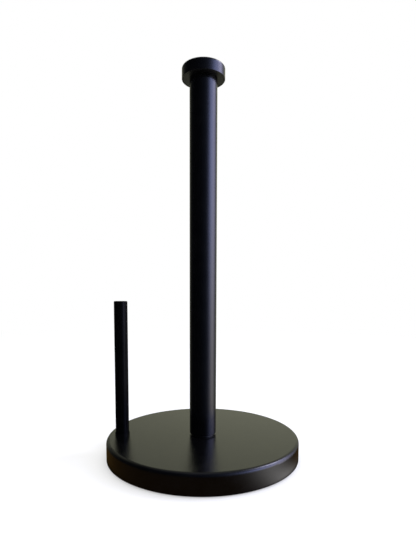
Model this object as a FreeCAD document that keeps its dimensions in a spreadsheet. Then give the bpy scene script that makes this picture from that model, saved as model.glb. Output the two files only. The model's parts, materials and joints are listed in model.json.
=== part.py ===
"""Upright paper towel holder: weighted round base, turning post with a screw-on cap, fixed side arm.

Millimetres, +Z up.  The origin is the middle of the footprint, on the surface that the holder stands on.
The side arm stands on the -X side.  Every size sits in the spreadsheet "sizes"; each piece is modelled about
its own axis from its own lowest seat, and its Placement puts it in the assembly.
"""

import FreeCAD, Part
import os

import Sketcher

OUT = "parts"

# alias, value in mm, what it is
SIZES = [
    ("base_diameter", 160.0, "outside of the base cover"),
    ("base_top", 17.0, "top face of the base above the surface it stands on"),
    ("base_edge", 2.8, "outside radius of the cover's top edge"),
    ("sheet", 1.0, "steel sheet of the base cover"),
    ("rim_gap", 1.0, "cover's rim above the surface, where the foot ring shows"),
    ("foot_thickness", 2.0, "rubber foot ring"),
    ("foot_inset", 1.8, "foot ring's edge inside the cover's outside"),
    ("foot_width", 12.0, "foot ring, edge to edge"),
    ("grip_groove", 0.5, "depth of the grooves under the foot ring"),
    ("plate_thickness", 1.2, "bottom plate"),
    ("plate_gap", 0.4, "bottom plate's edge to the cover's wall"),
    ("access_inset", 1.0, "edge of the plate's access hole inside the post bolt's counterbore"),
    ("bead_inset", 8.0, "middle of the plate's stiffening bead inside the plate screws' circle"),
    ("bead_radius", 2.2, "outside radius of the bead's round back"),
    ("plate_screw_inset", 10.2, "plate screws' circle inside the foot ring's inner edge"),
    ("plate_screw_shank", 4.0, "thread of a plate screw"),
    ("plate_screw_rim", 1.5, "head of a plate screw outside its thread"),
    ("plate_screw_head_height", 1.4, "head of a plate screw"),
    ("plate_screw_length", 8.0, "plate screw under its head"),
    ("ballast_thickness", 7.0, "cast disc without its bosses"),
    ("ballast_gap", 2.0, "cast disc's edge to the cover's wall"),
    ("ballast_edge", 1.0, "chamfers of the cast disc"),
    ("boss_wall", 3.0, "metal round a plate screw in its boss"),
    ("recess_depth", 3.0, "counterbores under the cast disc"),
    ("bolt_recess_gap", 4.5, "counterbore of the post bolt outside its flat washer"),
    ("arm_recess_gap", 1.0, "counterbore of the arm screw outside its flat washer"),
    ("bush_wall", 2.0, "stem of the post's bush outside the bolt's thread"),
    ("bush_flange_inset", 1.2, "edge of the bush's flange inside the post's outside"),
    ("bush_flange_thickness", 1.4, "gap that shows under the post"),
    ("bolt_shank", 8.0, "thread of the post bolt and of the cap's stud"),
    ("bolt_rim", 3.0, "head of the post bolt outside its thread"),
    ("bolt_head_height", 4.4, "head of the post bolt"),
    ("bolt_length", 25.0, "post bolt under its head"),
    ("bolt_key", 5.0, "hexagon socket across flats"),
    ("bolt_washer_rim", 1.5, "flat washer outside the post bolt's head"),
    ("bolt_washer_thickness", 1.0, "flat washer over the disc spring"),
    ("spring_rim", 1.0, "disc spring outside the post bolt's head"),
    ("spring_height", 1.0, "disc spring as fitted"),
    ("spring_sheet", 0.5, "disc spring's steel"),
    ("post_diameter", 22.2, "outside of the post"),
    ("post_wall", 0.9, "wall of the post's tube"),
    ("roll_room", 287.5, "top of the base to the underside of the cap"),
    ("glue_groove", 1.5, "height of a glue groove round the post's plug"),
    ("cap_diameter", 34.4, "outside of the cap"),
    ("cap_height", 9.3, "cap from its underside to its top"),
    ("cap_edge", 1.8, "outside radius of the cap's top edge"),
    ("cap_wall", 1.0, "steel of the cap's cup"),
    ("cap_washer_inset", 0.7, "edge of the washer under the cap inside the post's outside"),
    ("cap_washer_thickness", 0.6, "washer between cap and post"),
    ("stud_seat", 3.5, "stud's head above the cap's underside"),
    ("stud_rim", 2.5, "flats of the stud's hexagon head outside its thread"),
    ("stud_head_height", 4.0, "stud's head"),
    ("stud_length", 14.5, "stud under its head"),
    ("arm_diameter", 11.2, "outside of the side arm"),
    ("arm_wall", 1.0, "wall of the side arm's tube"),
    ("arm_height", 112.2, "side arm above the top of the base"),
    ("arm_inset", 11.0, "side arm's axis inside the cover's outside"),
    ("arm_cap_disc", 1.4, "disc of the arm's end cap"),
    ("arm_cap_edge", 0.9, "radius round the top of the arm's end cap"),
    ("arm_cap_stem", 7.0, "stem of the arm's end cap"),
    ("arm_screw_shank", 5.0, "thread of the arm screw"),
    ("arm_screw_rim", 2.0, "head of the arm screw outside its thread"),
    ("arm_screw_head_height", 2.75, "head of the arm screw"),
    ("arm_screw_length", 20.0, "arm screw under its head"),
    ("arm_washer_rim", 0.5, "flat washer outside the arm screw's head"),
    ("arm_washer_thickness", 1.0, "flat washer of the arm screw"),
    ("lock_washer_inset", 0.4, "split washer's edge inside the flat washer's"),
    ("lock_washer_thickness", 1.2, "split washer of the arm screw"),
    ("lock_washer_slit", 0.8, "slit of the split washer"),
    ("running_gap", 0.05, "radial gap of a shaft or thread in its hole"),
    ("screw_gap", 0.25, "radial gap of a screw through a plain hole"),
    ("tip_room", 1.5, "free depth past the tip of a screw in a blind hole"),
    ("insert_floor", 2.0, "metal past the blind hole of a threaded insert"),
    ("break_edge", 0.3, "small chamfers and rounded edges"),
]

# Heights of the seats that several pieces share, as expressions of the sheet.
RIM = "sizes.rim_gap"
PLATE_UNDER = "sizes.foot_thickness"
PLATE_TOP = "(sizes.foot_thickness + sizes.plate_thickness)"
BALLAST_TOP = "(sizes.base_top - sizes.sheet)"
BALLAST_UNDER = f"({BALLAST_TOP} - sizes.ballast_thickness)"
RECESS_TOP = f"({BALLAST_UNDER} + sizes.recess_depth)"
POST_UNDER = "(sizes.base_top + sizes.bush_flange_thickness)"
CAP_UNDER = "(sizes.base_top + sizes.roll_room)"
POST_TOP = f"({CAP_UNDER} - sizes.cap_washer_thickness)"
BOLT_SEAT = f"({RECESS_TOP} - sizes.bolt_washer_thickness - sizes.spring_height)"
ARM_SCREW_SEAT = f"({RECESS_TOP} - sizes.arm_washer_thickness - sizes.lock_washer_thickness)"

# Radii that several pieces share.
POST_BORE = "(sizes.post_diameter / 2 - sizes.post_wall)"
ARM_BORE = "(sizes.arm_diameter / 2 - sizes.arm_wall)"
COVER_BORE = "(sizes.base_diameter / 2 - sizes.sheet)"
CAP_BORE = "(sizes.cap_diameter / 2 - sizes.cap_wall)"
FOOT_OUTSIDE = "(sizes.base_diameter / 2 - sizes.foot_inset)"
FOOT_INSIDE = f"({FOOT_OUTSIDE} - sizes.foot_width)"
PLATE_SCREW_CIRCLE = f"({FOOT_INSIDE} - sizes.plate_screw_inset)"
PLATE_SCREW_HEAD = "(sizes.plate_screw_shank / 2 + sizes.plate_screw_rim)"
BUSH_STEM = "(sizes.bolt_shank / 2 + sizes.bush_wall)"
BOLT_HEAD = "(sizes.bolt_shank / 2 + sizes.bolt_rim)"
BOLT_WASHER = f"({BOLT_HEAD} + sizes.bolt_washer_rim)"
BOLT_RECESS = f"({BOLT_WASHER} + sizes.bolt_recess_gap)"
ARM_SCREW_HEAD = "(sizes.arm_screw_shank / 2 + sizes.arm_screw_rim)"
ARM_WASHER = f"({ARM_SCREW_HEAD} + sizes.arm_washer_rim)"
ARM_RECESS = f"({ARM_WASHER} + sizes.arm_recess_gap)"
STUD_FLATS = "(sizes.bolt_shank + 2 * sizes.stud_rim)"

ARM_X = "(sizes.arm_inset - sizes.base_diameter / 2)"

# How deep each blind thread is, from the face where its screw goes in.
POST_FOOT_THREAD = f"({BOLT_SEAT} + sizes.bolt_length - {POST_UNDER} + sizes.tip_room)"
POST_TOP_THREAD = f"({POST_TOP} - {CAP_UNDER} - sizes.stud_seat + sizes.stud_length + sizes.tip_room)"
ARM_FOOT_THREAD = f"({ARM_SCREW_SEAT} + sizes.arm_screw_length - sizes.base_top + sizes.tip_room)"
POST_TOP_INSERT = f"({POST_TOP_THREAD} + sizes.insert_floor)"

PLATE_SCREWS = 4
GRIP_GROOVES = 3
GRIP_BANDS = 2 * GRIP_GROOVES + 1
HEXAGON = 6
BEAD_STEP = 30
CROSS_REACH = 0.55
CROSS_HALF_WIDTH = 0.14
DRIVE_DEPTH = 0.6
GLUE_GROOVES = (0.3, 0.6)
SEAT_TOLERANCE = 1e-4

doc = FreeCAD.newDocument("paper_towel_holder")
sheet = doc.addObject("Spreadsheet::Sheet", "sizes")


def fill_sheet():
    for row, (alias, value, meaning) in enumerate(SIZES, start=1):
        sheet.set(f"A{row}", meaning)
        sheet.set(f"B{row}", str(value))
        sheet.setAlias(f"B{row}", alias)
    doc.recompute()


# ---------------------------------------------------------------- bodies, sketches and features


def new_body(name, height, x=None):
    """A body whose own zero stands at that height, on the post's axis or on the given x."""
    body = doc.addObject("PartDesign::Body", name)
    body.Label = name
    body.setExpression("Placement.Base.z", height)
    if x:
        body.setExpression("Placement.Base.x", x)
    return body


def origin_feature(body, role):
    return next(f for f in body.Origin.OriginFeatures if f.Role == role)


def flat_sketch(body, name, height="0"):
    """A level sketch at a height above the body's own zero."""
    sketch = body.newObject("Sketcher::SketchObject", f"{body.Name}_{name}")
    sketch.AttachmentSupport = (origin_feature(body, "XY_Plane"), [""])
    sketch.MapMode = "FlatFace"
    sketch.setExpression("AttachmentOffset.Base.z", height)
    return sketch


def upright_sketch(body, name):
    """A sketch on the body's XZ plane: its x is a radius and its y a height."""
    sketch = body.newObject("Sketcher::SketchObject", f"{body.Name}_{name}")
    sketch.AttachmentSupport = (origin_feature(body, "XZ_Plane"), [""])
    sketch.MapMode = "FlatFace"
    return sketch


def bind(sketch, constraint, expression):
    """Adds a dimension to a sketch and ties it to the sheet."""
    index = sketch.addConstraint(constraint)
    sketch.setExpression(f"Constraints[{index}]", expression)


def value_of(expression):
    return float(sheet.evalExpression(expression.replace("sizes.", "")))


def add_circle(sketch, radius, x="0", y="0"):
    at = FreeCAD.Vector(value_of(x), value_of(y), 0)
    circle = sketch.addGeometry(Part.Circle(at, FreeCAD.Vector(0, 0, 1), value_of(radius)))
    bind(sketch, Sketcher.Constraint("Radius", circle, value_of(radius)), radius)
    if x == "0" and y == "0":
        sketch.addConstraint(Sketcher.Constraint("Coincident", circle, 3, -1, 1))
    else:
        bind(sketch, Sketcher.Constraint("DistanceX", -1, 1, circle, 3, at.x), x)
        bind(sketch, Sketcher.Constraint("DistanceY", -1, 1, circle, 3, at.y), y)


def add_outline(sketch, points):
    """A closed outline of straight sides whose corners are (x, y) expressions."""
    at = [FreeCAD.Vector(value_of(x), value_of(y), 0) for x, y in points]
    count = len(at)
    sides = [sketch.addGeometry(Part.LineSegment(at[i], at[(i + 1) % count])) for i in range(count)]
    for i, side in enumerate(sides):
        sketch.addConstraint(Sketcher.Constraint("Coincident", side, 2, sides[(i + 1) % count], 1))
    for side, corner, (x, y) in zip(sides, at, points):
        bind(sketch, Sketcher.Constraint("DistanceX", -1, 1, side, 1, corner.x), x)
        bind(sketch, Sketcher.Constraint("DistanceY", -1, 1, side, 1, corner.y), y)


def add_hexagon(sketch, across_flats):
    """A regular hexagon round the sketch's origin, two of its flats along the sketch's x."""
    corners = []
    for i in range(HEXAGON):
        turn = 360 / HEXAGON * i
        reach = f"{across_flats} / 2 / cos(30 deg)"
        corners.append((f"{reach} * cos({turn} deg)", f"{reach} * sin({turn} deg)"))
    add_outline(sketch, corners)


def pad(body, sketch, length, down=False):
    feature = body.newObject("PartDesign::Pad", f"{sketch.Name}_pad")
    feature.Profile = sketch
    feature.Reversed = down
    feature.setExpression("Length", length)
    doc.recompute()
    return feature


def cut(body, sketch, depth, up=False):
    """A pocket of that depth below the sketch, or above it."""
    before = body.Shape.Volume
    feature = body.newObject("PartDesign::Pocket", f"{sketch.Name}_cut")
    feature.Profile = sketch
    feature.Reversed = up
    feature.setExpression("Length", depth)
    doc.recompute()
    if not body.Shape.Volume < before:
        raise ValueError(f"{feature.Name} cuts nothing")
    return feature


def turn(body, sketch, remove=False):
    """The upright sketch turned right round the body's Z axis, as metal or as a groove."""
    before = body.Shape.Volume if remove else 0.0
    kind = "PartDesign::Groove" if remove else "PartDesign::Revolution"
    feature = body.newObject(kind, f"{sketch.Name}_turned")
    feature.Profile = sketch
    feature.ReferenceAxis = (sketch, ["V_Axis"])
    feature.Angle = 360.0
    doc.recompute()
    if remove and not body.Shape.Volume < before:
        raise ValueError(f"{feature.Name} cuts nothing")
    return feature


def turned_body(name, points, height, x=None):
    body = new_body(name, height, x)
    sketch = upright_sketch(body, "profile")
    add_outline(sketch, points)
    turn(body, sketch)
    return body


def ring_edges(body, radius, height):
    """The names of a body's full circles of that radius at that height above its own zero."""
    names = []
    wanted_radius, wanted_height = value_of(radius), value_of(height)
    for index, edge in enumerate(body.Tip.Shape.Edges, start=1):
        curve = edge.Curve
        if not isinstance(curve, Part.Circle):
            continue
        same_radius = abs(curve.Radius - wanted_radius) < SEAT_TOLERANCE
        same_height = abs(edge.BoundBox.ZMin - wanted_height) < SEAT_TOLERANCE
        if same_radius and same_height and edge.BoundBox.ZLength < SEAT_TOLERANCE:
            names.append(f"Edge{index}")
    if not names:
        raise ValueError(f"{body.Name} has no round edge of radius {wanted_radius} at {wanted_height}")
    return names


def dress(body, kind, size, edges):
    """A fillet or a chamfer on round edges, each given as (radius, height)."""
    base = body.Tip
    names = [name for radius, height in edges for name in ring_edges(body, radius, height)]
    feature = body.newObject(f"PartDesign::{kind}", f"{body.Name}_{kind.lower()}_{len(body.Group)}")
    feature.Base = (base, names)
    feature.setExpression("Radius" if kind == "Fillet" else "Size", size)
    doc.recompute()
    return feature


def screw_at(body, head, head_height, shank, length):
    """A screw about the body's axis, pointing up, its seat at the body's zero; head is a radius."""
    sketch = upright_sketch(body, "profile")
    tip = f"{shank} / 10"
    add_outline(
        sketch,
        [
            ("0", f"-{head_height}"),
            (head, f"-{head_height}"),
            (head, "0"),
            (f"{shank} / 2", "0"),
            (f"{shank} / 2", f"{length} - {tip}"),
            (f"{shank} / 2 - {tip}", length),
            ("0", length),
        ],
    )
    turn(body, sketch)


def cross_recess(body, head, head_height):
    """A cross-shaped drive, sunk upward into a head of that radius and height."""
    reach, half_width = f"{head} * {CROSS_REACH}", f"{head} * {CROSS_HALF_WIDTH}"
    for name, along_x, along_y in (("long", reach, half_width), ("wide", half_width, reach)):
        sketch = flat_sketch(body, f"recess_{name}", f"-{head_height}")
        corners = ((1, 1), (-1, 1), (-1, -1), (1, -1))
        add_outline(sketch, [(f"{sx} * {along_x}", f"{sy} * {along_y}") for sx, sy in corners])
        cut(body, sketch, f"{head_height} * {DRIVE_DEPTH}", up=True)


def ring_of(name, outside, inside, thickness, height, x=None):
    """A flat washer between two radii."""
    body = new_body(name, height, x)
    sketch = flat_sketch(body, "ring")
    add_circle(sketch, outside)
    add_circle(sketch, inside)
    pad(body, sketch, thickness)
    return body


def four_times(body, features):
    """Repeats features round the body's Z axis, once for each plate screw."""
    pattern = body.newObject("PartDesign::PolarPattern", f"{body.Name}_pattern")
    pattern.Originals = features
    pattern.Axis = (origin_feature(body, "Z_Axis"), [""])
    pattern.Angle = 360.0
    pattern.Occurrences = PLATE_SCREWS
    body.Tip = pattern
    doc.recompute()


def first_screw_place():
    """Where the first plate screw stands, halfway between the X and Y axes."""
    return f"{PLATE_SCREW_CIRCLE} * cos(45 deg)", f"{PLATE_SCREW_CIRCLE} * sin(45 deg)"


# ---------------------------------------------------------------- the base


def base_shell():
    """The drawn steel cover, open below, with holes for the bush and the arm screw."""
    body = new_body("base_shell", RIM)
    tall = f"(sizes.base_top - {RIM})"
    disc = flat_sketch(body, "disc")
    add_circle(disc, "sizes.base_diameter / 2")
    pad(body, disc, tall)
    dress(body, "Fillet", "sizes.base_edge", [("sizes.base_diameter / 2", tall)])
    hollow = flat_sketch(body, "hollow")
    add_circle(hollow, COVER_BORE)
    cut(body, hollow, f"{tall} - sizes.sheet", up=True)
    dress(body, "Fillet", "sizes.base_edge - sizes.sheet", [(COVER_BORE, f"{tall} - sizes.sheet")])
    holes = flat_sketch(body, "holes", tall)
    add_circle(holes, f"{BUSH_STEM} + sizes.running_gap")
    add_circle(holes, "sizes.arm_screw_shank / 2 + sizes.screw_gap", ARM_X)
    cut(body, holes, tall)
    dress(body, "Fillet", "sizes.break_edge", [("sizes.base_diameter / 2", "0")])
    return body


def ballast_disc():
    """The cast iron weight under the cover's top, with four bosses for the bottom plate's screws."""
    body = new_body("ballast_disc", BALLAST_UNDER)
    radius = f"({COVER_BORE} - sizes.ballast_gap)"
    disc = flat_sketch(body, "disc")
    add_circle(disc, radius)
    pad(body, disc, "sizes.ballast_thickness")
    dress(body, "Chamfer", "sizes.ballast_edge", [(radius, "0"), (radius, "sizes.ballast_thickness")])
    boss_height = f"({BALLAST_UNDER} - {PLATE_TOP})"
    boss = flat_sketch(body, "boss")
    add_circle(boss, "sizes.plate_screw_shank / 2 + sizes.boss_wall", *first_screw_place())
    boss_pad = pad(body, boss, boss_height, down=True)
    hole = flat_sketch(body, "boss_hole", f"-{boss_height}")
    add_circle(hole, "sizes.plate_screw_shank / 2 + sizes.running_gap", *first_screw_place())
    hole_cut = cut(body, hole, "sizes.plate_screw_length - sizes.plate_thickness + sizes.tip_room", up=True)
    four_times(body, [boss_pad, hole_cut])
    recesses = flat_sketch(body, "recesses")
    add_circle(recesses, BOLT_RECESS)
    add_circle(recesses, ARM_RECESS, ARM_X)
    cut(body, recesses, "sizes.recess_depth", up=True)
    holes = flat_sketch(body, "holes", "sizes.ballast_thickness")
    add_circle(holes, BUSH_STEM)
    add_circle(holes, "sizes.arm_screw_shank / 2 + sizes.screw_gap", ARM_X)
    cut(body, holes, "sizes.ballast_thickness")
    return body


def base_plate():
    """The pressed steel bottom, with a round stiffening bead and the access hole of the post bolt."""
    body = new_body("base_plate", PLATE_UNDER)
    disc = flat_sketch(body, "disc")
    add_circle(disc, f"{COVER_BORE} - sizes.plate_gap")
    add_circle(disc, f"{BOLT_RECESS} - sizes.access_inset")
    pad(body, disc, "sizes.plate_thickness")
    middle = f"({PLATE_SCREW_CIRCLE} - sizes.bead_inset)"
    for name, radius, remove in (
        ("bead", "sizes.bead_radius", False),
        ("bead_inside", "(sizes.bead_radius - sizes.plate_thickness)", True),
    ):
        # The raised back is an arched ridge over the plate's top, its inside a matching channel below.
        foot = "0" if remove else "sizes.plate_thickness / 2"
        arch = range(0, 180 + BEAD_STEP, BEAD_STEP)
        sketch = upright_sketch(body, name)
        add_outline(
            sketch,
            [(f"{middle} + {radius} * cos({a} deg)", f"{foot} + {radius} * sin({a} deg)") for a in arch],
        )
        turn(body, sketch, remove)
    hole = flat_sketch(body, "screw_hole", "sizes.plate_thickness")
    add_circle(hole, "sizes.plate_screw_shank / 2 + sizes.screw_gap", *first_screw_place())
    four_times(body, [cut(body, hole, "sizes.plate_thickness")])
    return body


def foot_ring():
    """The rubber ring that the holder stands on, with grip grooves round its underside."""
    outer, inner = FOOT_OUTSIDE, FOOT_INSIDE
    band = f"sizes.foot_width / {GRIP_BANDS}"
    points = [(inner, "sizes.foot_thickness"), (inner, "0")]
    for i in range(GRIP_GROOVES):
        start, end = f"{inner} + {2 * i + 1} * {band}", f"{inner} + {2 * i + 2} * {band}"
        points += [(start, "0"), (start, "sizes.grip_groove"), (end, "sizes.grip_groove"), (end, "0")]
    points += [(outer, "0"), (outer, "sizes.foot_thickness")]
    return turned_body("foot_ring", points, "0")


def plate_screws():
    """Four pan-head screws that hold the bottom plate, as one group."""
    screws = []
    for i in range(PLATE_SCREWS):
        body = doc.addObject("PartDesign::Body", f"plate_screw_{i + 1}")
        angle = 45 + 360 / PLATE_SCREWS * i
        body.setExpression("Placement.Base.x", f"{PLATE_SCREW_CIRCLE} * cos({angle} deg)")
        body.setExpression("Placement.Base.y", f"{PLATE_SCREW_CIRCLE} * sin({angle} deg)")
        body.setExpression("Placement.Base.z", PLATE_UNDER)
        head, height = PLATE_SCREW_HEAD, "sizes.plate_screw_head_height"
        screw_at(body, head, height, "sizes.plate_screw_shank", "sizes.plate_screw_length")
        dress(body, "Fillet", f"{height} / 2", [(head, f"-{height}")])
        cross_recess(body, head, height)
        screws.append(body)
    group = doc.addObject("Part::Compound", "plate_screws")
    group.Label = "plate_screws"
    group.Links = screws
    return group


def post_bush():
    """The flanged nylon bush pressed into the cast disc; its flange is the dark ring under the post."""
    stem = f"({RECESS_TOP} - sizes.base_top)"
    bore = "sizes.bolt_shank / 2 + sizes.running_gap"
    flange = "sizes.post_diameter / 2 - sizes.bush_flange_inset"
    return turned_body(
        "post_bush",
        [
            (bore, stem),
            (BUSH_STEM, stem),
            (BUSH_STEM, "0"),
            (flange, "0"),
            (flange, "sizes.bush_flange_thickness"),
            (bore, "sizes.bush_flange_thickness"),
        ],
        "sizes.base_top",
    )


# ---------------------------------------------------------------- the turning post


def post_tube():
    """The painted steel tube that the roll stands round."""
    body = new_body("post_tube", POST_UNDER)
    tall = f"({POST_TOP} - {POST_UNDER})"
    ring = flat_sketch(body, "ring")
    add_circle(ring, "sizes.post_diameter / 2")
    add_circle(ring, POST_BORE)
    pad(body, ring, tall)
    outside = "sizes.post_diameter / 2"
    dress(body, "Fillet", "sizes.break_edge", [(outside, "0"), (outside, tall)])
    return body


def post_foot_plug():
    """The steel plug glued into the post's foot, threaded for the post bolt."""
    bore = "(sizes.bolt_shank / 2 + sizes.running_gap)"
    tall = f"({POST_FOOT_THREAD} + sizes.insert_floor)"
    body = new_body("post_foot_plug", POST_UNDER)
    disc = flat_sketch(body, "disc")
    add_circle(disc, POST_BORE)
    pad(body, disc, tall)
    hole = flat_sketch(body, "thread")
    add_circle(hole, bore)
    cut(body, hole, POST_FOOT_THREAD, up=True)
    glue = upright_sketch(body, "glue_grooves")
    inner, outer = f"{POST_BORE} - sizes.break_edge", f"{POST_BORE} + sizes.break_edge"
    for share in GLUE_GROOVES:
        low = f"{tall} * {share}"
        high = f"{low} + sizes.glue_groove"
        add_outline(glue, [(inner, low), (outer, low), (outer, high), (inner, high)])
    turn(body, glue, remove=True)
    dress(body, "Chamfer", "sizes.break_edge * 2", [(POST_BORE, tall)])
    return body


def post_bolt():
    """The socket-head bolt that turns in the bush and carries the post."""
    body = new_body("post_bolt", BOLT_SEAT)
    head, height = BOLT_HEAD, "sizes.bolt_head_height"
    screw_at(body, head, height, "sizes.bolt_shank", "sizes.bolt_length")
    dress(body, "Fillet", f"{height} / 2", [(head, f"-{height}")])
    socket = flat_sketch(body, "socket", f"-{height}")
    add_hexagon(socket, "sizes.bolt_key")
    cut(body, socket, f"{height} * {DRIVE_DEPTH}", up=True)
    return body


def bolt_washer():
    height = f"{RECESS_TOP} - sizes.bolt_washer_thickness"
    inside = "sizes.bolt_shank / 2 + sizes.running_gap"
    return ring_of("bolt_washer", BOLT_WASHER, inside, "sizes.bolt_washer_thickness", height)


def disc_spring():
    """A coned ring, its narrow end on the bolt's head and its wide end under the washer."""
    inside = "sizes.bolt_shank / 2 + sizes.running_gap"
    outside = f"{BOLT_HEAD} + sizes.spring_rim"
    lift = "(sizes.spring_height - sizes.spring_sheet)"
    height, sheet_edge = "sizes.spring_height", "sizes.spring_sheet"
    points = [(inside, "0"), (outside, lift), (outside, height), (inside, sheet_edge)]
    return turned_body("disc_spring", points, BOLT_SEAT)


def post_top_insert():
    """The threaded insert glued into the top of the post."""
    body = new_body("post_top_insert", f"{POST_TOP} - {POST_TOP_INSERT}")
    disc = flat_sketch(body, "disc")
    add_circle(disc, POST_BORE)
    pad(body, disc, POST_TOP_INSERT)
    hole = flat_sketch(body, "thread", POST_TOP_INSERT)
    add_circle(hole, "sizes.bolt_shank / 2 + sizes.running_gap")
    cut(body, hole, POST_TOP_THREAD)
    dress(body, "Chamfer", "sizes.break_edge * 2", [(POST_BORE, "0")])
    return body


# ---------------------------------------------------------------- the cap


def cap_washer():
    inside = "sizes.bolt_shank / 2 + sizes.screw_gap"
    outside = "sizes.post_diameter / 2 - sizes.cap_washer_inset"
    return ring_of("cap_washer", outside, inside, "sizes.cap_washer_thickness", POST_TOP)


def cap_shell():
    """The drawn steel cup of the cap, open below."""
    body = new_body("cap_shell", CAP_UNDER)
    disc = flat_sketch(body, "disc")
    add_circle(disc, "sizes.cap_diameter / 2")
    pad(body, disc, "sizes.cap_height")
    dress(body, "Fillet", "sizes.cap_edge", [("sizes.cap_diameter / 2", "sizes.cap_height")])
    deep = "(sizes.cap_height - sizes.cap_wall)"
    hollow = flat_sketch(body, "hollow")
    add_circle(hollow, CAP_BORE)
    cut(body, hollow, deep, up=True)
    dress(body, "Fillet", "sizes.cap_edge - sizes.cap_wall", [(CAP_BORE, deep)])
    dress(body, "Fillet", "sizes.break_edge", [("sizes.cap_diameter / 2", "0")])
    return body


def cap_core():
    """The moulded filling of the cup, which holds the stud's head."""
    body = new_body("cap_core", CAP_UNDER)
    deep = "(sizes.cap_height - sizes.cap_wall)"
    disc = flat_sketch(body, "disc")
    add_circle(disc, CAP_BORE)
    pad(body, disc, deep)
    dress(body, "Fillet", "sizes.cap_edge - sizes.cap_wall", [(CAP_BORE, deep)])
    hole = flat_sketch(body, "stud_hole", deep)
    add_circle(hole, "sizes.bolt_shank / 2")
    cut(body, hole, deep)
    pocket = flat_sketch(body, "head_pocket", deep)
    add_hexagon(pocket, STUD_FLATS)
    cut(body, pocket, f"{deep} - sizes.stud_seat")
    dress(body, "Chamfer", "sizes.break_edge", [(CAP_BORE, "0")])
    return body


def cap_stud():
    """A hexagon-head screw moulded into the core, pointing down into the post."""
    body = new_body("cap_stud", f"{CAP_UNDER} + sizes.stud_seat")
    head = flat_sketch(body, "head")
    add_hexagon(head, STUD_FLATS)
    pad(body, head, "sizes.stud_head_height")
    shank = flat_sketch(body, "shank")
    add_circle(shank, "sizes.bolt_shank / 2")
    pad(body, shank, "sizes.stud_length", down=True)
    dress(body, "Chamfer", "sizes.bolt_shank / 10", [("sizes.bolt_shank / 2", "-sizes.stud_length")])
    return body


# ---------------------------------------------------------------- the side arm


def arm_tube():
    body = new_body("arm_tube", "sizes.base_top", ARM_X)
    ring = flat_sketch(body, "ring")
    add_circle(ring, "sizes.arm_diameter / 2")
    add_circle(ring, ARM_BORE)
    pad(body, ring, "sizes.arm_height - sizes.arm_cap_disc")
    return body


def arm_foot_insert():
    """The threaded insert in the arm's foot."""
    tall = f"({ARM_FOOT_THREAD} + sizes.insert_floor)"
    body = new_body("arm_foot_insert", "sizes.base_top", ARM_X)
    disc = flat_sketch(body, "disc")
    add_circle(disc, ARM_BORE)
    pad(body, disc, tall)
    hole = flat_sketch(body, "thread")
    add_circle(hole, "sizes.arm_screw_shank / 2 + sizes.running_gap")
    cut(body, hole, ARM_FOOT_THREAD, up=True)
    dress(body, "Chamfer", "sizes.break_edge", [(ARM_BORE, tall)])
    return body


def arm_end_cap():
    """The welded end cap: a disc as wide as the tube on a stem inside it."""
    body = new_body("arm_end_cap", "sizes.base_top + sizes.arm_height - sizes.arm_cap_disc", ARM_X)
    disc = flat_sketch(body, "disc")
    add_circle(disc, "sizes.arm_diameter / 2")
    pad(body, disc, "sizes.arm_cap_disc")
    stem = flat_sketch(body, "stem")
    add_circle(stem, ARM_BORE)
    pad(body, stem, "sizes.arm_cap_stem", down=True)
    dress(body, "Fillet", "sizes.arm_cap_edge", [("sizes.arm_diameter / 2", "sizes.arm_cap_disc")])
    dress(body, "Chamfer", "sizes.break_edge", [(ARM_BORE, "-sizes.arm_cap_stem")])
    return body


def arm_screw():
    body = new_body("arm_screw", ARM_SCREW_SEAT, ARM_X)
    head, height = ARM_SCREW_HEAD, "sizes.arm_screw_head_height"
    screw_at(body, head, height, "sizes.arm_screw_shank", "sizes.arm_screw_length")
    dress(body, "Fillet", f"{height} / 2", [(head, f"-{height}")])
    cross_recess(body, head, height)
    return body


def arm_washer():
    height = f"{RECESS_TOP} - sizes.arm_washer_thickness"
    inside = "sizes.arm_screw_shank / 2 + sizes.running_gap"
    return ring_of("arm_washer", ARM_WASHER, inside, "sizes.arm_washer_thickness", height, ARM_X)


def arm_lock_washer():
    """A split spring washer, with its slit on the side away from the post."""
    inside = "sizes.arm_screw_shank / 2 + sizes.running_gap"
    thickness = "sizes.lock_washer_thickness"
    outside = f"({ARM_WASHER} - sizes.lock_washer_inset)"
    body = ring_of("arm_lock_washer", outside, inside, thickness, ARM_SCREW_SEAT, ARM_X)
    slit = flat_sketch(body, "slit")
    past, middle, half = f"-{outside} * 2", "-sizes.arm_screw_shank / 4", "sizes.lock_washer_slit / 2"
    add_outline(slit, [(past, half), (past, f"-{half}"), (middle, f"-{half}"), (middle, half)])
    cut(body, slit, thickness, up=True)
    return body


BASE_PIECES = [base_shell, ballast_disc, base_plate, foot_ring, plate_screws, post_bush]
ARM_PIECES = [arm_tube, arm_foot_insert, arm_end_cap, arm_screw, arm_washer, arm_lock_washer]
POST_PIECES = [post_tube, post_foot_plug, post_bolt, bolt_washer, disc_spring, post_top_insert]
CAP_PIECES = [cap_washer, cap_shell, cap_core, cap_stud]


def check(pieces):
    for thing in doc.Objects:
        if "Invalid" in thing.State or "Error" in thing.State:
            raise ValueError(f"{thing.Name} did not recompute: {thing.State}")
    for piece in pieces:
        if piece.Shape.isNull() or not piece.Shape.isValid() or not piece.Shape.Solids:
            raise ValueError(f"{piece.Label} is not a valid solid")


def main():
    fill_sheet()
    pieces = [make() for make in BASE_PIECES + ARM_PIECES + POST_PIECES + CAP_PIECES]
    doc.recompute()
    check(pieces)
    os.makedirs(OUT, exist_ok=True)
    for piece in pieces:
        piece.Shape.exportStep(f"{OUT}/{piece.Label}.step")
        box = piece.Shape.optimalBoundingBox()
        size = f"{box.XLength:.1f} x {box.YLength:.1f} x {box.ZLength:.1f}"
        print(f"{piece.Label}: {len(piece.Shape.Solids)} solid, {size} mm, from z {box.ZMin:.2f}")


main()
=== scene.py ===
"""Looks for the paper towel holder: satin black coat, plated fasteners, a real thread, soft window light."""

import json
import math

import bpy
from mathutils import Matrix, Vector


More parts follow.
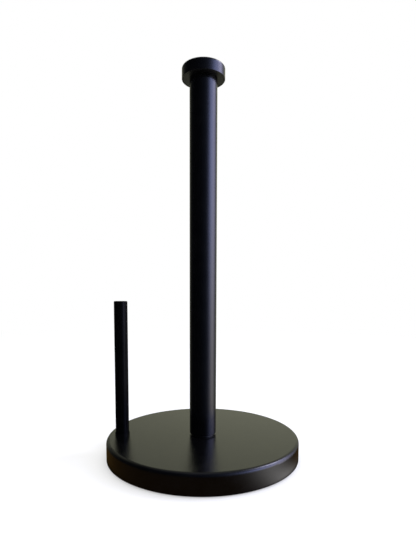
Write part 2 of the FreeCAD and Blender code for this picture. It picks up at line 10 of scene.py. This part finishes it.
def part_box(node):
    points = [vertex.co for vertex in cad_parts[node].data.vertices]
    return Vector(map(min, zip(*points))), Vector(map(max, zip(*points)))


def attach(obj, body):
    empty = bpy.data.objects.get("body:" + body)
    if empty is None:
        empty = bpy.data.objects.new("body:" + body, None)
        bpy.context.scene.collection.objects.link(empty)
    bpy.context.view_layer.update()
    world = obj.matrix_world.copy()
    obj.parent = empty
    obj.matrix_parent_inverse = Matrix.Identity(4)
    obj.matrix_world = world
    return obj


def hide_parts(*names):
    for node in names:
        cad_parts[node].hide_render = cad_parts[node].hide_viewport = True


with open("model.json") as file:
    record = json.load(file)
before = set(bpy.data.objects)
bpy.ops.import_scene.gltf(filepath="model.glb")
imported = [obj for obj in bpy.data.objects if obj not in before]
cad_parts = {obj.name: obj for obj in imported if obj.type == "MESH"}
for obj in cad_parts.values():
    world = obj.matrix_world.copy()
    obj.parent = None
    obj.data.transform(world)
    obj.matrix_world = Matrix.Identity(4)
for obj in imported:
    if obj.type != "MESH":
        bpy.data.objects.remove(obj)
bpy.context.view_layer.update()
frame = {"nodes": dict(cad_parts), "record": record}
NODES = frame["nodes"]

# ---------------------------------------------------------------- camera
# The camera stands in front of the holder, turned a little away from the arm, and looks slightly down.

CAMERA_RADIUS = 0.3509        # level distance from the post's axis
CAMERA_HEIGHT = 0.1372
CAMERA_TURN = math.radians(-3.08)    # how far round the post's axis it stands, away from the arm
CAMERA_YAW = math.radians(0.68)      # how far right of the post it looks
CAMERA_DOWN = math.radians(4.91)
CAMERA_ROLL = math.radians(0.18)
CAMERA_LENS = 27.42
CAMERA_SHIFT_Y = 0.0911
SENSOR = 36.0


def make_camera():
    data = bpy.data.cameras.new("camera")
    data.sensor_width = SENSOR
    data.lens = CAMERA_LENS
    data.shift_y = CAMERA_SHIFT_Y
    data.clip_start, data.clip_end = 0.01, 50.0
    camera = bpy.data.objects.new("camera", data)
    bpy.context.scene.collection.objects.link(camera)
    place = Vector((-math.sin(CAMERA_TURN), -math.cos(CAMERA_TURN), 0.0)) * CAMERA_RADIUS
    place.z = CAMERA_HEIGHT
    heading = CAMERA_TURN + CAMERA_YAW
    turn = (
        Matrix.Rotation(-heading, 4, "Z")
        @ Matrix.Rotation(math.pi / 2 - CAMERA_DOWN, 4, "X")
        @ Matrix.Rotation(CAMERA_ROLL, 4, "Z")
    )
    camera.matrix_world = Matrix.Translation(place) @ turn
    bpy.context.scene.camera = camera


# ---------------------------------------------------------------- node helpers


def link(tree, output, socket):
    tree.links.new(output, socket)


def noise(tree, vector, scale, detail=3.0, roughness=0.5, distortion=0.0):
    node = tree.nodes.new("ShaderNodeTexNoise")
    node.inputs["Scale"].default_value = scale
    node.inputs["Detail"].default_value = detail
    node.inputs["Roughness"].default_value = roughness
    node.inputs["Distortion"].default_value = distortion
    link(tree, vector, node.inputs["Vector"])
    return node.outputs["Fac"]


def ramp(tree, value, low, high, to_low=0.0, to_high=1.0):
    """A value taken from low..high to to_low..to_high, smooth at both ends."""
    node = tree.nodes.new("ShaderNodeMapRange")
    node.interpolation_type = "SMOOTHSTEP"
    for name, number in (("From Min", low), ("From Max", high), ("To Min", to_low), ("To Max", to_high)):
        node.inputs[name].default_value = number
    link(tree, value, node.inputs["Value"])
    return node.outputs["Result"]


def maths(tree, operation, *values):
    node = tree.nodes.new("ShaderNodeMath")
    node.operation = operation
    for socket, value in zip(node.inputs, values):
        if isinstance(value, (int, float)):
            socket.default_value = value
        else:
            link(tree, value, socket)
    return node.outputs["Value"]


def soft_lobe(tree, cosine, sharpness):
    """1 where the cosine is 1, falling off softly, faster the sharper the lobe is."""
    return maths(tree, "EXPONENT", maths(tree, "MULTIPLY_ADD", cosine, sharpness, -sharpness))


def blend_colours(tree, factor, first, second):
    node = tree.nodes.new("ShaderNodeMix")
    node.data_type = "RGBA"
    link(tree, factor, node.inputs["Factor"])
    for socket, colour in (("A", first), ("B", second)):
        target = next(i for i in node.inputs if i.name == socket and i.type == "RGBA")
        if isinstance(colour, tuple):
            target.default_value = (*colour, 1.0)
        else:
            link(tree, colour, target)
    return next(o for o in node.outputs if o.type == "RGBA")


def bump(tree, height, strength, distance, normal=None):
    node = tree.nodes.new("ShaderNodeBump")
    node.inputs["Strength"].default_value = strength
    node.inputs["Distance"].default_value = distance
    link(tree, height, node.inputs["Height"])
    if normal:
        link(tree, normal, node.inputs["Normal"])
    return node.outputs["Normal"]


def start_material(name):
    """A node material with a shader and the point on the piece, in metres."""
    material = bpy.data.materials.new(name)
    material.use_nodes = True
    tree = material.node_tree
    shader = tree.nodes["Principled BSDF"]
    point = tree.nodes.new("ShaderNodeTexCoord").outputs["Object"]
    return material, tree, shader, point


# ---------------------------------------------------------------- materials


def black_coat(name="black_satin_coat"):
    """Satin black powder coat: orange peel, faint mottling of the gloss and a few fine scuffs."""
    material, tree, shader, point = start_material(name)
    mottle = noise(tree, point, 90.0, 4.0, 0.6)
    tone = ramp(tree, mottle, 0.35, 0.65)
    colour = blend_colours(tree, tone, (0.0007, 0.0007, 0.0009), (0.0013, 0.0013, 0.0015))
    link(tree, colour, shader.inputs["Base Color"])
    stretch = tree.nodes.new("ShaderNodeMapping")
    stretch.inputs["Scale"].default_value = (1.0, 1.0, 0.12)
    link(tree, point, stretch.inputs["Vector"])
    scuff = noise(tree, stretch.outputs["Vector"], 700.0, 2.0, 0.7)
    scuffed = ramp(tree, scuff, 0.68, 0.8, 0.0, 0.08)
    gloss = ramp(tree, mottle, 0.3, 0.7, 0.17, 0.21)
    link(tree, maths(tree, "ADD", gloss, scuffed), shader.inputs["Roughness"])
    peel = noise(tree, point, 1100.0, 2.0, 0.45)
    fine = noise(tree, point, 5200.0, 2.0, 0.5)
    coarse = bump(tree, peel, 0.10, 0.0002)
    link(tree, bump(tree, fine, 0.7, 0.00005, coarse), shader.inputs["Normal"])
    shader.inputs["IOR"].default_value = 1.5
    return material


def plate_coat():
    """Matte black dip coat on pressed sheet, thinner and greyer than the powder coat."""
    material, tree, shader, point = start_material("black_dip_coat")
    cloud = noise(tree, point, 60.0, 5.0, 0.6)
    colour = blend_colours(tree, ramp(tree, cloud, 0.3, 0.7), (0.022, 0.022, 0.023), (0.036, 0.036, 0.038))
    link(tree, colour, shader.inputs["Base Color"])
    link(tree, ramp(tree, cloud, 0.3, 0.7, 0.48, 0.6), shader.inputs["Roughness"])
    grain = noise(tree, point, 2600.0, 3.0, 0.6)
    link(tree, bump(tree, grain, 0.2, 0.0001), shader.inputs["Normal"])
    return material


def plated(name, colour, dull, lines):
    """Zinc-plated or turned steel: turning lines round the axis and cloudy plating."""
    material, tree, shader, point = start_material(name)
    cloud = noise(tree, point, 380.0, 4.0, 0.6)
    shade = tuple(c * 0.72 for c in colour)
    tint = blend_colours(tree, ramp(tree, cloud, 0.35, 0.65), shade, colour)
    link(tree, tint, shader.inputs["Base Color"])
    shader.inputs["Metallic"].default_value = 1.0
    link(tree, ramp(tree, cloud, 0.3, 0.7, dull, dull + 0.14), shader.inputs["Roughness"])
    wave = tree.nodes.new("ShaderNodeTexWave")
    wave.wave_type = "BANDS"
    wave.bands_direction = "Z"
    wave.inputs["Scale"].default_value = lines
    wave.inputs["Distortion"].default_value = 0.6
    link(tree, point, wave.inputs["Vector"])
    link(tree, bump(tree, wave.outputs["Fac"], 0.12, 0.00003), shader.inputs["Normal"])
    return material


def moulded(name, colour, gloss):
    """Moulded nylon: fine spark-eroded grain."""
    material, tree, shader, point = start_material(name)
    cloud = noise(tree, point, 200.0, 3.0, 0.5)
    tint = blend_colours(tree, ramp(tree, cloud, 0.3, 0.7), tuple(c * 0.8 for c in colour), colour)
    link(tree, tint, shader.inputs["Base Color"])
    link(tree, ramp(tree, cloud, 0.3, 0.7, gloss, gloss + 0.1), shader.inputs["Roughness"])
    grain = noise(tree, point, 3000.0, 2.0, 0.6)
    link(tree, bump(tree, grain, 0.25, 0.00008), shader.inputs["Normal"])
    return material


def rubber():
    """Grey-black rubber with a dusty bloom."""
    material, tree, shader, point = start_material("foot_rubber")
    dust = noise(tree, point, 140.0, 5.0, 0.65)
    colour = blend_colours(tree, ramp(tree, dust, 0.5, 0.75), (0.011, 0.011, 0.011), (0.03, 0.029, 0.027))
    link(tree, colour, shader.inputs["Base Color"])
    link(tree, ramp(tree, dust, 0.4, 0.7, 0.62, 0.8), shader.inputs["Roughness"])
    grain = noise(tree, point, 2200.0, 3.0, 0.6)
    link(tree, bump(tree, grain, 0.3, 0.0001), shader.inputs["Normal"])
    return material


def cast():
    """Rough painted casting."""
    material, tree, shader, point = start_material("cast_iron")
    sand = noise(tree, point, 900.0, 5.0, 0.65)
    colour = blend_colours(tree, ramp(tree, sand, 0.35, 0.65), (0.03, 0.03, 0.031), (0.075, 0.073, 0.07))
    link(tree, colour, shader.inputs["Base Color"])
    link(tree, ramp(tree, sand, 0.3, 0.7, 0.6, 0.85), shader.inputs["Roughness"])
    link(tree, bump(tree, sand, 0.5, 0.0004), shader.inputs["Normal"])
    return material


def paint(node, material):
    mesh = NODES[node].data
    mesh.materials.clear()
    mesh.materials.append(material)


# ---------------------------------------------------------------- light and stage
# The room is a few soft lobes of light: a tall cool window to the right, its light on the table below it,
# and a pale wall behind. Each has a bearing from the camera's side of the post, an elevation, both in
# degrees, a sharpness and a colour.

ROOM_DARK = (0.003, 0.005, 0.012)
ROOM = [
    ("window_left", 68.0, 18.0, 18.0, (2.05, 2.4, 4.8)),
    ("window_right", 98.0, 16.0, 20.0, (2.0, 2.0, 3.4)),
    ("window_foot", 84.0, -6.0, 12.0, (2.2, 2.05, 1.9)),
    ("window_high", 102.0, 42.0, 60.0, (11.0, 11.0, 15.0)),
    ("room_right", 60.0, 20.0, 3.0, (0.16, 0.19, 0.30)),
    ("wall", 168.0, 27.0, 4.5, (0.56, 0.57, 0.415)),
    ("table_back", 180.0, -25.0, 4.0, (0.16, 0.16, 0.115)),
    ("below", 0.0, -88.0, 8.0, (0.55, 0.55, 0.55)),
    ("ceiling", 90.0, 88.0, 12.0, (0.25, 0.26, 0.30)),
]
ROOM_PLAIN = (0.42, 0.42, 0.42)       # the same room to a matt surface
BACKDROP = (1.0, 1.0, 1.0)
TABLE_FULL_PAINTED_SHADE = 0.0          # how far past the base's edge the card's glow is held dark: painted shade of the base on the mirrored table
TABLE_PAINTED_SHADE_END = 0.004        # past the base's edge, where that painted shade ends
TABLE_REACH = 0.060       # how far past the edge the base's side still mirrors the surface
TABLE_TONE = (0.064, 0.036, 0.010)
# painted light: the card glows brighter to the right, standing in for the window's light on the table
TABLE_PAINTED_LIGHT = (1.4, 1.36, 1.34)
TABLE_PAINTED_LIGHT_AT = math.radians(49.0 - 90.0)
TABLE_PAINTED_LIGHT_SHARPNESS = 30.0
CARD_LIFT = 0.0001        # the table card above the floor
CARD_UNDER = 0.001        # how far it reaches in under the base's edge
SCRIM_GAP = 0.0006        # outside the side arm
SCRIM_HOLE = 0.02         # share of the scrim's radius left open at the middle of its top
SCRIM_CLEAR = 0.16        # share of the light that passes the scrim
FLOOR_GLOW = 0.45         # how much of the floor's white is its own
FLOOR_TONE = 0.82
FLOOR_HALF = 6.0
FLOOR_FADE = (0.2, 1.2)   # from the post's axis, where the floor turns into the backdrop
OVERHEAD_SIZE = 2.4
OVERHEAD_POWER = 46.0
OVERHEAD_PLACE = (0.3, 0.1, 2.0)


def bearing(around, elevation):
    """A direction from degrees to the right of the camera's side and degrees up."""
    angle = math.radians(around - 90.0) - CAMERA_TURN
    up = math.radians(elevation)
    return Vector((math.cos(angle) * math.cos(up), math.sin(angle) * math.cos(up), math.sin(up)))


def make_room():
    world = bpy.data.worlds.new("room")
    bpy.context.scene.world = world
    world.use_nodes = True
    tree = world.node_tree
    tree.nodes.clear()
    way = tree.nodes.new("ShaderNodeTexCoord").outputs["Generated"]
    total = None
    for name, around, elevation, sharpness, colour in ROOM:
        dot = tree.nodes.new("ShaderNodeVectorMath")
        dot.operation = "DOT_PRODUCT"
        dot.label = name
        link(tree, way, dot.inputs[0])
        dot.inputs[1].default_value = bearing(around, elevation)
        lobe = soft_lobe(tree, dot.outputs["Value"], sharpness)
        scaled = tree.nodes.new("ShaderNodeVectorMath")
        scaled.operation = "SCALE"
        scaled.inputs[0].default_value = colour
        link(tree, lobe, scaled.inputs["Scale"])
        add = tree.nodes.new("ShaderNodeVectorMath")
        add.operation = "ADD"
        if total is None:
            add.inputs[0].default_value = ROOM_DARK
        else:
            link(tree, total, add.inputs[0])
        link(tree, scaled.outputs["Vector"], add.inputs[1])
        total = add.outputs["Vector"]
    path = tree.nodes.new("ShaderNodeLightPath")
    room = tree.nodes.new("ShaderNodeBackground")
    plain = blend_colours(tree, path.outputs["Is Diffuse Ray"], total, ROOM_PLAIN)
    link(tree, plain, room.inputs["Color"])
    backdrop = tree.nodes.new("ShaderNodeBackground")
    backdrop.inputs["Color"].default_value = (*BACKDROP, 1.0)
    mix = tree.nodes.new("ShaderNodeMixShader")
    link(tree, path.outputs["Is Camera Ray"], mix.inputs["Fac"])
    link(tree, room.outputs["Background"], mix.inputs[1])
    link(tree, backdrop.outputs["Background"], mix.inputs[2])
    output = tree.nodes.new("ShaderNodeOutputWorld")
    link(tree, mix.outputs["Shader"], output.inputs["Surface"])


def make_overhead():
    """A large soft light over the floor, which doesn't show in the gloss."""
    data = bpy.data.lights.new("overhead", "AREA")
    data.shape = "DISK"
    data.size = OVERHEAD_SIZE
    data.energy = OVERHEAD_POWER
    light = bpy.data.objects.new("overhead", data)
    light.location = OVERHEAD_PLACE
    light.visible_glossy = False
    light.visible_camera = False
    bpy.context.scene.collection.objects.link(light)


def make_floor():
    """A pale floor that fades into the backdrop and is clear from below."""
    mesh = bpy.data.meshes.new("floor")
    corners = [(x * FLOOR_HALF, y * FLOOR_HALF, 0) for x, y in ((-1, -1), (1, -1), (1, 1), (-1, 1))]
    mesh.from_pydata(corners, [], [(0, 1, 2, 3)])
    floor = bpy.data.objects.new("floor", mesh)
    bpy.context.scene.collection.objects.link(floor)
    floor.visible_glossy = False
    material = bpy.data.materials.new("floor")
    material.use_nodes = True
    tree = material.node_tree
    tree.nodes.clear()
    geometry = tree.nodes.new("ShaderNodeNewGeometry")
    distance = tree.nodes.new("ShaderNodeVectorMath")
    distance.operation = "LENGTH"
    link(tree, geometry.outputs["Position"], distance.inputs[0])
    far = ramp(tree, distance.outputs["Value"], *FLOOR_FADE)
    diffuse = tree.nodes.new("ShaderNodeBsdfDiffuse")
    diffuse.inputs["Color"].default_value = (FLOOR_TONE, FLOOR_TONE, FLOOR_TONE, 1.0)
    glow = tree.nodes.new("ShaderNodeEmission")
    glow.inputs["Color"].default_value = (*BACKDROP, 1.0)
    fade = tree.nodes.new("ShaderNodeMixShader")
    link(tree, maths(tree, "MULTIPLY_ADD", far, 1.0 - FLOOR_GLOW, FLOOR_GLOW), fade.inputs["Fac"])
    link(tree, diffuse.outputs["BSDF"], fade.inputs[1])
    link(tree, glow.outputs["Emission"], fade.inputs[2])
    clear = tree.nodes.new("ShaderNodeBsdfTransparent")
    sides = tree.nodes.new("ShaderNodeMixShader")
    link(tree, geometry.outputs["Backfacing"], sides.inputs["Fac"])
    link(tree, fade.outputs["Shader"], sides.inputs[1])
    link(tree, clear.outputs["BSDF"], sides.inputs[2])
    output = tree.nodes.new("ShaderNodeOutputMaterial")
    link(tree, sides.outputs["Shader"], output.inputs["Surface"])
    mesh.materials.append(material)


def gloss_only(card):
    """A card of the stage that nothing sees but the gloss of the object."""
    bpy.context.scene.collection.objects.link(card)
    card.visible_camera = False
    card.visible_diffuse = False
    card.visible_shadow = False
    card.visible_transmission = False


def ring_mesh(name, rings, around=96):
    """A surface turned about Z through (radius, height) points."""
    points, faces = [], []
    for radius, height in rings:
        for i in range(around):
            turn = 2 * math.pi * i / around
            points.append((radius * math.cos(turn), radius * math.sin(turn), height))
    for row in range(len(rings) - 1):
        for i in range(around):
            j = (i + 1) % around
            near, far = row * around, (row + 1) * around
            faces.append((near + i, near + j, far + j, far + i))
    mesh = bpy.data.meshes.new(name)
    mesh.from_pydata(points, [], faces)
    mesh.polygons.foreach_set("use_smooth", [True] * len(mesh.polygons))
    return mesh


def make_painted_table_reflection():
    """A glowing card that the base's side mirrors, a painted reflection of the table: wood brown, with a
    painted pool of the window's light on it to the right and painted shade next to the base.
    """
    low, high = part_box("base_shell")
    edge = (high[0] - low[0]) / 2
    mesh = ring_mesh("painted_table_reflection", [(edge - CARD_UNDER, CARD_LIFT), (edge + TABLE_REACH, CARD_LIFT)])
    card = bpy.data.objects.new("painted_table_reflection", mesh)
    material = bpy.data.materials.new("painted_table_reflection")
    material.use_nodes = True
    tree = material.node_tree
    tree.nodes.clear()
    place = tree.nodes.new("ShaderNodeTexCoord").outputs["Object"]
    distance = tree.nodes.new("ShaderNodeVectorMath")
    distance.operation = "LENGTH"
    link(tree, place, distance.inputs[0])
    outward = tree.nodes.new("ShaderNodeVectorMath")
    outward.operation = "NORMALIZE"
    link(tree, place, outward.inputs[0])
    towards = tree.nodes.new("ShaderNodeVectorMath")
    towards.operation = "DOT_PRODUCT"
    link(tree, outward.outputs["Vector"], towards.inputs[0])
    # painted light: a lobe of brighter glow on the window's side of the card
    lit_side = TABLE_PAINTED_LIGHT_AT - CAMERA_TURN
    towards.inputs[1].default_value = (math.cos(lit_side), math.sin(lit_side), 0.0)
    lobe = soft_lobe(tree, towards.outputs["Value"], TABLE_PAINTED_LIGHT_SHARPNESS)
    colour = blend_colours(tree, lobe, TABLE_TONE, TABLE_PAINTED_LIGHT)
    glow = tree.nodes.new("ShaderNodeEmission")
    link(tree, colour, glow.inputs["Color"])
    # painted shade: the card's glow is held dark next to the base's edge
    shade = ramp(tree, distance.outputs["Value"], edge + TABLE_FULL_PAINTED_SHADE, edge + TABLE_PAINTED_SHADE_END)
    link(tree, shade, glow.inputs["Strength"])
    clear = tree.nodes.new("ShaderNodeBsdfTransparent")
    mix = tree.nodes.new("ShaderNodeMixShader")
    far = ramp(tree, distance.outputs["Value"], edge + TABLE_REACH * 0.6, edge + TABLE_REACH)
    link(tree, far, mix.inputs["Fac"])
    link(tree, glow.outputs["Emission"], mix.inputs[1])
    link(tree, clear.outputs["BSDF"], mix.inputs[2])
    output = tree.nodes.new("ShaderNodeOutputMaterial")
    link(tree, mix.outputs["Shader"], output.inputs["Surface"])
    mesh.materials.append(material)
    gloss_only(card)


def make_scrim():
    """A grey scrim close round the side arm, which stands out of the window's light."""
    low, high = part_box("arm_tube")
    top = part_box("arm_end_cap")[1][2] + SCRIM_GAP
    radius = (high[0] - low[0]) / 2 + SCRIM_GAP
    mesh = ring_mesh("scrim", [(radius, low[2]), (radius, top), (radius * SCRIM_HOLE, top)], 48)
    scrim = bpy.data.objects.new("scrim", mesh)
    scrim.location = ((low[0] + high[0]) / 2, (low[1] + high[1]) / 2, 0.0)
    material = bpy.data.materials.new("scrim")
    material.use_nodes = True
    tree = material.node_tree
    tree.nodes.clear()
    leaving = tree.nodes.new("ShaderNodeNewGeometry").outputs["Backfacing"]
    clear = tree.nodes.new("ShaderNodeBsdfTransparent")
    grey = tree.nodes.new("ShaderNodeBsdfTransparent")
    grey.inputs["Color"].default_value = (SCRIM_CLEAR, SCRIM_CLEAR, SCRIM_CLEAR, 1.0)
    mix = tree.nodes.new("ShaderNodeMixShader")
    link(tree, leaving, mix.inputs["Fac"])
    link(tree, clear.outputs["BSDF"], mix.inputs[1])
    link(tree, grey.outputs["BSDF"], mix.inputs[2])
    output = tree.nodes.new("ShaderNodeOutputMaterial")
    link(tree, mix.outputs["Shader"], output.inputs["Surface"])
    mesh.materials.append(material)
    gloss_only(scrim)


# ---------------------------------------------------------------- the cap's stud, with its real thread

THREAD_PITCH = 0.00125
THREAD_DEPTH = 0.00068
THREAD_CREST = 0.125      # shares of the pitch
THREAD_ROOT = 0.25
THREAD_ROWS = 16          # per turn of the thread
STUD_SIDES = 48
STUD_SHANK = 0.004
STUD_HEAD = 0.004
STUD_NECK = 0.0009        # plain shank under the head
STUD_TIP = 0.0008
HEAD_CHAMFER = 0.0004


def thread_depth(turn, height):
    """How far the thread's groove is under its crest, for a right-hand thread."""
    along = (height / THREAD_PITCH - turn / (2 * math.pi)) % 1.0
    flank = (1.0 - THREAD_CREST - THREAD_ROOT) / 2
    from_root = max(abs(along - 0.5) - THREAD_ROOT / 2, 0.0)
    return THREAD_DEPTH * (1.0 - min(from_root / flank, 1.0))


def hexagon_reach(turn, corner):
    """The radius of a hexagon with a corner on +X, along a turn."""
    off = (turn + math.pi / 6) % (math.pi / 3) - math.pi / 6
    return corner * math.cos(math.pi / 6) / math.cos(math.pi / 6 - abs(off))


def make_stud():
    """One closed skin from the stud's tip up its thread and over its hexagon head."""
    low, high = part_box("cap_stud")
    axis_x, axis_y = (low[0] + high[0]) / 2, (low[1] + high[1]) / 2
    corner = (high[0] - low[0]) / 2
    shank = STUD_SHANK
    seat = high[2] - STUD_HEAD
    rows = []
    count = round((seat - low[2]) / THREAD_PITCH * THREAD_ROWS)
    for row in range(count + 1):
        height = low[2] + (seat - low[2]) * row / count
        bare = max(STUD_TIP - (height - low[2]), 0.0)
        cut = 0.0 if height > seat - STUD_NECK else 1.0
        rows.append([
            (min(shank - thread_depth(turn, height) * cut, shank - bare), height)
            for turn in (2 * math.pi * i / STUD_SIDES for i in range(STUD_SIDES))
        ])
    for inset, height in ((0.0, seat), (0.0, high[2] - HEAD_CHAMFER), (HEAD_CHAMFER, high[2])):
        rows.append([
            (hexagon_reach(2 * math.pi * i / STUD_SIDES, corner) - inset, height) for i in range(STUD_SIDES)
        ])
    points, faces = [], []
    for row in rows:
        for i, (radius, height) in enumerate(row):
            turn = 2 * math.pi * i / STUD_SIDES
            points.append((axis_x + radius * math.cos(turn), axis_y + radius * math.sin(turn), height))
    for row in range(len(rows) - 1):
        for i in range(STUD_SIDES):
            j = (i + 1) % STUD_SIDES
            near, far = row * STUD_SIDES, (row + 1) * STUD_SIDES
            faces.append((near + i, near + j, far + j, far + i))
    last = (len(rows) - 1) * STUD_SIDES
    faces.append(tuple(reversed(range(STUD_SIDES))))
    faces.append(tuple(last + i for i in range(STUD_SIDES)))
    mesh = bpy.data.meshes.new("cap_stud_threaded")
    mesh.from_pydata(points, [], faces)
    mesh.materials.append(ZINC)
    stud = bpy.data.objects.new("cap_stud_threaded", mesh)
    bpy.context.scene.collection.objects.link(stud)
    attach(stud, "cap")
    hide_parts("cap_stud")


# ---------------------------------------------------------------- build

make_camera()
make_room()
make_overhead()
make_floor()
make_painted_table_reflection()
make_scrim()

COAT = black_coat()
ZINC = plated("zinc_plate", (0.66, 0.67, 0.68), 0.26, 900.0)
STEEL = plated("turned_steel", (0.46, 0.46, 0.47), 0.32, 1400.0)
NYLON = moulded("black_nylon", (0.0016, 0.0016, 0.0016), 0.34)
FINISHES = {
    "black_coating": COAT,
    "cast_weight": cast(),
    "plate_steel": plate_coat(),
    "zinc_steel": ZINC,
    "foot_rubber": rubber(),
    "black_nylon": NYLON,
    "plain_steel": STEEL,
}
for subpart in frame["record"]["subparts"]:
    paint(subpart["node"], FINISHES[subpart["material_slot"]])

make_stud()

bpy.context.scene.view_settings.view_transform = "Standard"
